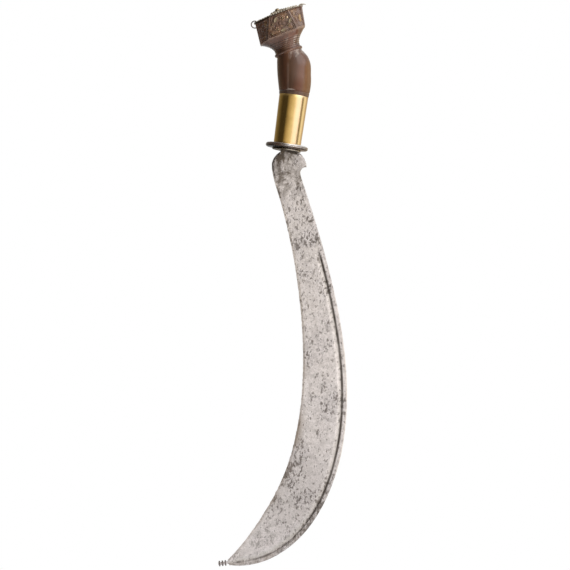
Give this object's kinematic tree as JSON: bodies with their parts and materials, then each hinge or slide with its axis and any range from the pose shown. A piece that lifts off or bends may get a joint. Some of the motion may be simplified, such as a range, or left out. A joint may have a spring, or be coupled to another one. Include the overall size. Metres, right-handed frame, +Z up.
{
  "type": "curved sacrificial axe-knife",
  "caption": "Heavy forward-curved ritual blade, sharpened on the concave side, with a disc guard, brass ferrule, bent wooden grip and a flared, metal-capped head with a lanyard ring.",
  "frame": {"origin": "centre of the guard's upper face, where the ferrule starts", "axes": "+Z up the ferrule's axis towards the head, +X towards the blade's convex side, +Y square to the blade's flat"},
  "size_m": [0.1698, 0.0484, 0.6503],
  "materials": {
    "steel": "forged steel, satin, mottled with old pitting",
    "dark_iron": "dark brown patinated iron",
    "polished_brass": "polished",
    "aged_brass": "aged and rubbed",
    "copper_inlay": "copper, rubbed",
    "wood": "dark hardwood, oiled and handled smooth",
    "resin": "dull natural resin"
  },
  "bodies": {
    "knife": {"blade": "steel", "guard_disc": "dark_iron", "guard_washer": "aged_brass", "ferrule": "polished_brass", "resin_fill": "resin", "handle": "wood", "cap_plate": "aged_brass", "cap_rosette": "aged_brass", "cap_leaf": "aged_brass", "cap_button": "polished_brass", "cap_nails": "polished_brass", "face_rosettes": "copper_inlay", "face_studs": "polished_brass", "face_leaves": "aged_brass"},
    "ring": {"lanyard_ring": "dark_iron"}
  },
  "joints": [
    {"name": "ring_swing", "type": "hinge", "parent": "knife", "child": "ring", "pos_m": [-0.05181, 0.01211, 0.13335], "axis": [-0.4695, 0, 0.8829], "range_deg": [-150, 40]}
  ]
}
